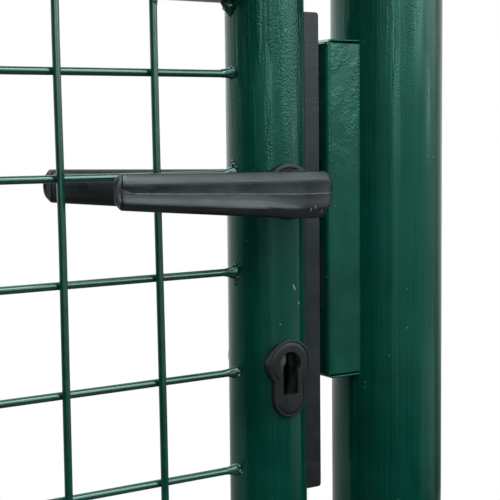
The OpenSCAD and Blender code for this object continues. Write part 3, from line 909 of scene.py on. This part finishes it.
POLISHED_STEEL = (0.60, 0.61, 0.61)
WORN_STEEL = (0.30, 0.31, 0.32)
# the dark of the painted shade on the lock case's faces round the key's hole
CASE_SHADE_STEEL = (0.0120, 0.0130, 0.0150)
case_zinc = galvanised("zinc_lock_case", BRIGHT_ZINC, DULL_ZINC, 1.4 * MM, 0.46)
tree = case_zinc.node_tree
own_colour = tree.nodes["Principled BSDF"].inputs["Base Color"]
plaque_low, plaque_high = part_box("front_escutcheon")
case_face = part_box("lock_case")[1].y
place = add_node(tree, "TexCoord").outputs["Object"]
from_middle = math_node(tree, "ABSOLUTE", add_node(tree, "SeparateXYZ", place).outputs["Y"])
# painted shade: the case's two faces round the key's hole are darkened, but not the wall of the hole
case_shade_middle = (lock_x, 0, (plaque_low.z + plaque_high.z) / 2)
case_shade_half_size = (10 * MM, 1.0, 20 * MM)
painted_case_shade = times(tree, scrape_and_shade_oval(tree, place, case_shade_middle, case_shade_half_size, 0),
              ramp(tree, from_middle, case_face - 0.4 * MM, case_face - 0.1 * MM))
tree.links.new(mixed(tree, painted_case_shade, own_colour.links[0].from_socket, CASE_SHADE_STEEL), own_colour)
bolt_steel = galvanised("zinc_bolts", POLISHED_STEEL, WORN_STEEL, 0.7 * MM, 0.3)


def broken_edges(name, width):
    """Round off the sharp edges of a node that keeps its own shape."""
    rounding = nodes[name].modifiers.new("broken_edges", "BEVEL")
    rounding.width, rounding.segments = width, 2
    rounding.limit_method, rounding.angle_limit = "ANGLE", radians(40)


coat_node("lock_case", case_zinc)
for name in ("latch_bolt", "dead_bolt"):
    coat_node(name, bolt_steel)
    broken_edges(name, 0.5 * MM)

# ---- Faceplate ----
# A shallow tray of smooth dark plastic that covers the slot. Its rims are shaped to the tube and
# two countersunk screws hold it. The bolts come out through two close-fitting openings.


def round_cutter(start_r, end_r, start, end, segments=64):
    """A loose round bar or cone from one point to another, to cut with."""
    build = bmesh.new()
    start, end = Vector(start), Vector(end)
    way = end - start
    turned = Matrix.Translation((start + end) / 2) @ way.to_track_quat("Z", "Y").to_matrix().to_4x4()
    bmesh.ops.create_cone(build, cap_ends=True, segments=segments, radius1=start_r, radius2=end_r,
                          depth=way.length, matrix=turned)
    return loose(build)


SMOOTH_GREY = (0.0062, 0.0078, 0.0082)
GREY_SCUFF = (0.0190, 0.0225, 0.0235)
plate_nylon = moulded_plastic("dark_plastic_plate", SMOOTH_GREY, GREY_SCUFF, 0.8 * MM, 0.3, 1.36)
plate_low, plate_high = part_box("faceplate")
plate_t = 2.0 * MM
plate_corner = 1.6 * MM
bolt_play = 0.2 * MM
screw_inset = 9.0 * MM
head_r = 3.9 * MM
shank_r = 2.0 * MM


def tray_side(inset):
    """Side view of the tray with its two outer corners rounded, drawn in by inset."""
    out_x, base, top = plate_high.x - inset, plate_low.z + inset, plate_high.z - inset
    r = plate_corner
    return ([(plate_low.x, base)] + arc(out_x - r, base + r, r, 270, 360, 8)
            + arc(out_x - r, top - r, r, 0, 90, 8) + [(plate_low.x, top)])


half_w = plate_high.y
cuts = [(-half_w, 0.4), (-half_w + 0.12 * MM, 0.12), (-half_w + 0.4 * MM, 0.0)]
cuts += [(-y, inset) for y, inset in reversed(cuts)]
build = skin([[Vector((x, y, z)) for x, z in tray_side(inset * MM)] for y, inset in cuts])
plate = piece("faceplate_tray", build, "leaf", plate_nylon)
cutters = [block((plate_low.x - 1 * MM, -half_w + plate_t, plate_low.z + plate_t),
                 (plate_high.x - plate_t, half_w - plate_t, plate_high.z - plate_t)),
           round_cutter(stile_r + seat, stile_r + seat, (lock_x, 0, plate_low.z - 1 * MM),
                        (lock_x, 0, plate_high.z + 1 * MM), 128)]
cutters += bolt_openings(plate_high.x - 3 * MM, plate_high.x + 1 * MM, bolt_play, bolt_play)
screw_heights = (plate_low.z + screw_inset, plate_high.z - screw_inset)
for z in screw_heights:
    cutters.append(round_cutter(shank_r, head_r + 0.3 * MM, (plate_high.x - plate_t - 0.4 * MM, 0, z),
                                (plate_high.x + 0.2 * MM, 0, z)))
flat_faced(carve(plate, cutters))
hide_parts("faceplate")

for end, z in zip(("bottom", "top"), screw_heights):
    profile = [(shank_r * 0.5, -11 * MM), (shank_r, -9.5 * MM), (shank_r, -2.3 * MM), (head_r, -0.35 * MM),
               (head_r - 0.1 * MM, -0.12 * MM), (head_r * 0.6, -0.06 * MM), (head_r * 0.2, -0.05 * MM)]
    build = skin([ring(r, x, 40) for r, x in profile])
    across_x(build)
    shift(build, x=plate_high.x, z=z)
    screw = piece("faceplate_" + end + "_screw", build, "leaf", bolt_steel)
    deep, long, thin = 1.4 * MM, 2.1 * MM, 0.45 * MM
    slots = [block((plate_high.x - deep, -half_y, z - half_z), (plate_high.x + 1 * MM, half_y, z + half_z))
             for half_y, half_z in ((long, thin), (thin, long))]
    carve(screw, slots)

# ---- Rosettes ----
# Round moulded plates behind the two handles. Their backs are shaped to the tube, the rim is
# bevelled, and a shallow groove runs round the hole for the handle's neck.

WORN_GREY = (0.0120, 0.0140, 0.0150)
plaque_nylon = moulded_plastic("dark_plastic_plaques", BLACK_NYLON, WORN_GREY, 0.45 * MM, 0.34, 1.38)
spindle_low, spindle_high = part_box("spindle")
spindle_z = (spindle_low.z + spindle_high.z) / 2
spindle_hole = 6.54 * MM


def tube_face(x):
    """How far the lock stile's surface lies from the gate's middle plane, x from its axis."""
    return sqrt((stile_r + seat) ** 2 - x * x) - 0.3 * MM


def on_lock(side, z, rings):
    """Points measured from the lock stile's axis and a height, each v out on that side, put in place."""
    return [[Vector((lock_x + x, side * v, z + up)) for x, v, up in loop] for loop in rings]


rose_lift = 0.5 * MM
rose_trim = 0.5 * MM
rose_groove = 2.6 * MM
rose_sides = 4.6 * MM
for side, face_name in ((-1, "front"), (1, "rear")):
    rose_low, rose_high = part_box(face_name + "_rosette")
    rose_r = (rose_high.x - rose_low.x) / 2 - rose_trim
    face = max(-rose_low.y, rose_high.y)
    groove = rose_r - rose_groove
    # from the hole across the groove to the rim: how far out, and how deep, in mm
    profile = [(spindle_hole, 0.8), (spindle_hole + 0.5 * MM, 0.2), (groove - 1.0 * MM, 0.35), (groove, 0.35),
               (groove + 0.4 * MM, 0.05), (groove + 0.7 * MM, 0.0), (rose_r - 0.7 * MM, 0.05),
               (rose_r - 0.2 * MM, 0.2), (rose_r, 0.6)]
    rings = [[(r * cos(a), face - sunk * MM, r * sin(a)) for a in full_turn(96)]
             for r, sunk in profile]
    rings.append([(x, min(face - rose_sides, tube_face(x)), z) for x, v, z in rings[-1]])
    rings.append([(x, tube_face(x), z) for x, v, z in rings[0]])
    build = skin(on_lock(side, spindle_z + rose_lift, rings), closed=True)
    rosette = flat_faced(piece(face_name + "_rosette_plate", build, "leaf", plaque_nylon))
    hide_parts(face_name + "_rosette")

# ---- Escutcheons ----
# Moulded key plates, one on each side, round above and narrower below. The rim is rounded over,
# and a bevel leads the key into the hole, which is a circle with a square-ended slot below it.

plaque_r = (plaque_high.x - plaque_low.x) / 2
plaque_tail_r = 9.2 * MM
key_z = plaque_high.z - plaque_r
plaque_end = key_z - plaque_low.z
key_round_r = 5.75 * MM
key_slot_half = 4.0 * MM
key_slot_end = 15.5 * MM
key_corner = 0.4 * MM


def key_outline(round_r, half_w, end, corner):
    """A round head with a straight-sided tail; the tail's two corners are rounded off."""
    meet = degrees(acos(half_w / round_r))
    shoulder = -sqrt(round_r ** 2 - half_w ** 2)
    foot = corner - end
    points = arc(0, 0, round_r, -meet, 180 + meet, 48)
    points += [(-half_w, z) for z in spaced(shoulder, foot, 6)[1:-1]]
    points += arc(corner - half_w, foot, corner, 180, 270, 12)
    points += arc(half_w - corner, foot, corner, 270, 360, 12)
    return points + [(half_w, z) for z in spaced(foot, shoulder, 6)[1:-1]]


# from the plate's flat to its rim, and up the bevel of the hole: how far in or out, and how deep, in mm
rim_steps = ((3.4, 0.0), (2.6, 0.06), (1.9, 0.3), (1.5, 0.42), (1.1, 0.35), (0.95, 0.02), (0.5, 0.0),
             (0.12, 0.16), (0.0, 0.5))
hole_steps = ((0.0, 0.9), (0.1, 0.5), (0.4, 0.1), (0.5, 0.0))
for side, face_name, dome in ((-1, "front", 1.0 * MM), (1, "rear", 2.6 * MM)):
    face_low, face_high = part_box(face_name + "_escutcheon")
    face = max(-face_low.y, face_high.y)

    def domed(loop, sunk):
        return [(x, face - sunk * MM - dome * (x / plaque_r) ** 2, z) for x, z in loop]

    rings = []
    for drawn_in, sunk in rim_steps:
        less = drawn_in * MM
        loop = key_outline(plaque_r - less, plaque_tail_r - less, plaque_end - less, plaque_tail_r - less)
        rings.append(domed(loop, sunk))
    rings.append([(x, min(v - 0.2 * MM, tube_face(x)), z) for x, v, z in rings[-1]])
    hole_rings = []
    for grown, sunk in hole_steps:
        more = grown * MM
        loop = key_outline(key_round_r + more, key_slot_half + more, key_slot_end + more, key_corner + more)
        hole_rings.append(domed(loop, sunk))
    rings += [[(x, tube_face(x), z) for x, v, z in hole_rings[0]]] + hole_rings
    build = skin(on_lock(side, key_z, rings), closed=True)
    plaque = flat_faced(piece(face_name + "_key_plate", build, "leaf", plaque_nylon, 40))
    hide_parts(face_name + "_escutcheon")

# ---- Spindle and handles ----
# A square steel spindle passes through the lock. The two lever handles pushed on it are moulded
# in dark nylon: eight-sided grips that taper to the free end, with a flash line along the face.

coat_node("spindle", bolt_steel)
broken_edges("spindle", 0.4 * MM)
handle_low, handle_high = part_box("front_handle")
grip_out = -handle_low.y
hub_t = 13 * MM
tip_t = 7 * MM
grip_end = handle_low.x + 0.1 * MM
hub_end = handle_high.x + 1.4 * MM
hub_round = 9.0 * MM
hub_length = 19 * MM
hub_fade = 12 * MM
grip_edge = 2.4 * MM
line_depth = 0.6 * MM
hub_bottom = handle_low.z
taper_start = lock_x - 8 * MM
neck_r = 11.4 * MM
hub_in = grip_out - hub_t
neck_start = -handle_high.y
split_length = 5.2 * MM


def grip_section(x):
    """Corners of a grip at x, out from the gate's middle plane, each with how far it is rounded, in mm."""
    share = min(1.0, max(0.0, (taper_start - x) / (taper_start - grip_end)))
    into_end = max(0.0, x - (hub_end - hub_round))
    shrink = hub_round - sqrt(max(0.0, hub_round ** 2 - into_end ** 2))
    shorten = shrink * (1.8 - 0.7 * shrink / hub_round)
    top = handle_high.z + (1.4 * share - 1.0) * MM - shorten
    bottom = hub_bottom + 7.6 * MM * share + shorten
    out = grip_out - 0.2 * MM - shrink
    dent = out - line_depth
    inside = grip_out - hub_t + (hub_t - tip_t) * share
    line = hub_bottom + (11.9 + 3.3 * share) * MM
    upper = top - (3.5 + 0.4 * share) * MM + shrink * 0.4
    lower = bottom + (4.3 - 1.2 * share) * MM - shrink * 0.4
    line = min(max(line, lower + 1.0 * MM), upper - 1.0 * MM)
    flat = max(0.3, 4.6 - 5.2 * share / 0.27) * MM
    below = max(line - flat, (line + lower) / 2)
    off_hub = min(1.0, max(0.0, (hub_end - hub_length - x) / hub_fade))
    lean = (1.4 * off_hub - 0.4) * (below - lower)
    splitting = min(1.0, max(0.0, (grip_end + split_length - x) / split_length))
    ridge = 0.12 * MM + 2.2 * MM * splitting
    sunk = 0.4 * MM * splitting
    back = min(grip_edge, (out - inside) * 0.3)
    return [
        ((inside, bottom + back), 0.9), ((inside, top - back), 0.9), ((inside + back, top), 0.9),
        ((out - (1.1 + 0.9 * off_hub) * MM, top), 0.8), ((out, upper), 0.9),
        ((out - 0.1 * MM, max(upper - 2.0 * MM, line + ridge + 0.5 * MM)), 0.3),
        ((dent - sunk, line + ridge), 0.02), ((dent + 0.1 * MM - sunk, line), 0.02),
        ((dent - sunk, line - ridge), 0.02), ((dent, below), 0.5),
        ((dent + 0.02 * lean, (below + lower) / 2), 0.8),
        ((dent + 0.19 * lean, lower), 1.9), ((out - 3.6 * MM, bottom), 0.7), ((inside + back, bottom), 0.9)]


def rounded_corners(corners):
    """Replace each corner with three points on a small curve."""
    points = []
    for i, (corner, size) in enumerate(corners):
        here = Vector(corner)
        ends = []
        for other in (corners[i - 1][0], corners[(i + 1) % len(corners)][0]):
            way = Vector(other) - here
            ends.append(here + way * min(0.45, size * MM / max(way.length, 1e-6)))
        points += [ends[0], (ends[0] + ends[1] + 2 * here) / 4, ends[1]]
    return points


FLASH_HIGHLIGHT_GREY = (0.0900, 0.0970, 0.0990)
SCRAPED_NYLON = (0.1500, 0.1580, 0.1600)
INNER_SHADE_NYLON = (0.0026, 0.0036, 0.0048)
grip_nylon = moulded_plastic("dark_plastic_grips", BLACK_NYLON, RUBBED_NYLON, 0.4 * MM, 0.32, 1.52)
tree = grip_nylon.node_tree
own_colour = tree.nodes["Principled BSDF"].inputs["Base Color"]
place = add_node(tree, "TexCoord").outputs["Object"]
along, through, up_from = add_node(tree, "SeparateXYZ", place).outputs
outward = math_node(tree, "ABSOLUTE", through)
near_middle, hub_middle = (grip_section(x)[7][0][1] for x in (grip_end, taper_start))
line_z = ramp(tree, along, grip_end, taper_start, near_middle, hub_middle, "LINEAR")
off_line = math_node(tree, "ABSOLUTE", math_node(tree, "SUBTRACT", up_from, line_z))
# painted highlight: a pale line along the ridge of the flash line on the grip's face
flash_highlight = times(tree, ramp(tree, off_line, 0.1 * MM, 0.4 * MM, 1.0, 0.0),
              ramp(tree, outward, grip_out - 9 * MM, grip_out - 3 * MM),
              ramp(tree, along, grip_end + 5 * MM, grip_end + 8 * MM),
              ramp(tree, noise_node(tree, place, 220.0, 3.0), 0.3, 0.6, 0.45, 1.0))
# painted shade: the grips' inner faces, toward the gate, are darkened
inner_shade_from = ramp(tree, along, grip_end, taper_start, grip_out - tip_t, grip_out - hub_t, "LINEAR")
painted_inner_shade = ramp(tree, math_node(tree, "SUBTRACT", outward, inner_shade_from), 0.3 * MM, 1.4 * MM, 1.0, 0.0)
marks_and_painted_light = mixed(tree, flash_highlight, mixed(tree, painted_inner_shade, own_colour.links[0].from_socket, INNER_SHADE_NYLON), FLASH_HIGHLIGHT_GREY)
# three scrapes on the front of the hub: how far from its end, how far up, and half their height, in mm
for off_end, up, half_height in ((16.6, 4.2, 1.1), (14.2, 5.4, 1.0), (10.0, 3.2, 0.9)):
    centre = (hub_end - off_end * MM, -grip_out, hub_bottom + up * MM)
    scrape = scrape_and_shade_oval(tree, place, centre, (0.35 * MM, 8 * MM, half_height * MM), 0)
    marks_and_painted_light = mixed(tree, times(tree, scrape, 0.8), marks_and_painted_light, SCRAPED_NYLON)
# the grips' colour: real scrapes, with the painted highlight and painted shade
tree.links.new(marks_and_painted_light, own_colour)

stations = [grip_end, grip_end + 0.35 * MM]
stations += [grip_end + split_length * s for s in (0.3, 0.6, 0.9, 1.0)]
stations += spaced(grip_end + 10 * MM, taper_start - 2 * MM, 14)
stations += [taper_start, lock_x - 2 * MM, hub_end - hub_round]
stations += [hub_end - hub_round * (1 - sin(radians(a))) for a in (12, 24, 36, 48, 59, 69, 78, 84)]
grip_middle = (grip_section(grip_end)[1][0][1] + grip_section(grip_end)[0][0][1]) / 2
rear_play = 0.0062


def placed(side, x, v, z):
    """A point of a grip or its plug, which are bowed at the free end, seen from the front.

    The rear handle has a little play on the spindle and sits turned up by a hair."""
    near_end = min(1.0, max(0.0, 1 - (x - grip_end) / (10 * MM)))
    bow = 0.7 * MM * near_end + 0.95 * max(0.0, grip_end - x)
    x += bow * ((z - grip_middle) / (8.0 * MM)) ** 2
    play = rear_play if side > 0 else 0.0
    return Vector((x + play * (z - spindle_z), side * v, z - play * (x - lock_x)))


for side, face_name in ((-1, "front"), (1, "rear")):
    rings = []
    for x in stations:
        loop = rounded_corners(grip_section(x))
        if x == grip_end:
            centre = sum(loop, Vector((0, 0))) / len(loop)
            loop = [centre + (point - centre) * 0.95 for point in loop]
        rings.append([placed(side, x, v, z) for v, z in loop])
    build = skin(rings)
    profile = [(neck_r - 1.2 * MM, neck_start), (neck_r - 0.3 * MM, neck_start),
               (neck_r, neck_start + 0.3 * MM), (neck_r, hub_in - 0.6 * MM),
               (neck_r + 0.1 * MM, hub_in + 0.3 * MM)]
    rings = [[(r * cos(a), v, r * sin(a)) for a in full_turn(72)] for r, v in profile]
    join_into(build, skin(on_lock(side, spindle_z, rings)))
    handle = piece(face_name + "_grip", build, "handles", grip_nylon, 32)
    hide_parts(face_name + "_handle")

# ---- Handle caps ----
# Small moulded plugs pressed into the free ends of the grips. They are a little smaller than the
# grip all round, have a rounded outer edge, and leave a dark groove where they seat.

# painted sheen: the plugs' paler grey stands in for the white paper's reflection on their end faces
PLUG_SHEEN_NYLON = (0.0200, 0.0230, 0.0245)
plug_nylon = moulded_plastic("dark_plastic_plugs", PLUG_SHEEN_NYLON, RUBBED_NYLON, 0.4 * MM, 0.34)
plug_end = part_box("front_handle_cap")[0].x
plug_half_w = tip_t / 2
plug_half_h = 8.0 * MM
loop = rounded_corners(grip_section(grip_end + split_length))
foot, head = min(p.y for p in loop), max(p.y for p in loop)
true_heights = [z for (v, z), size in grip_section(grip_end)]
true_foot = min(true_heights)
stretch = (max(true_heights) - true_foot) / (head - foot)
loop = [Vector((p.x, true_foot + (p.y - foot) * stretch)) for p in loop]
centre = Vector((grip_out - plug_half_w, sum(point.y for point in loop) / len(loop)))
# from inside the grip to the plug's face: where, and how far drawn in, in mm
plug_steps = [(grip_end + out * MM, drawn_in)
              for out, drawn_in in ((0.8, 0.8), (-0.9, 0.8), (-1.0, 0.3), (-1.15, 0.2))]
plug_steps += [(plug_end + out * MM, drawn_in)
               for out, drawn_in in ((0.75, 0.2), (0.45, 0.3), (0.3, 0.6), (0.25, 1.6))]
for side, face_name in ((-1, "front"), (1, "rear")):
    rings = []
    for x, drawn_in in plug_steps:
        wide = 1 - (drawn_in + 0.5) * MM / plug_half_w
        high = 1 - drawn_in * MM / plug_half_h
        rings.append([placed(side, x, centre.x + (p.x - centre.x) * wide, centre.y + (p.y - centre.y) * high)
                      for p in loop])
    build = skin(rings)
    plug = flat_faced(piece(face_name + "_grip_plug", build, "handles", plug_nylon, 40))
    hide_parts(face_name + "_handle_cap")

low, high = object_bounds()
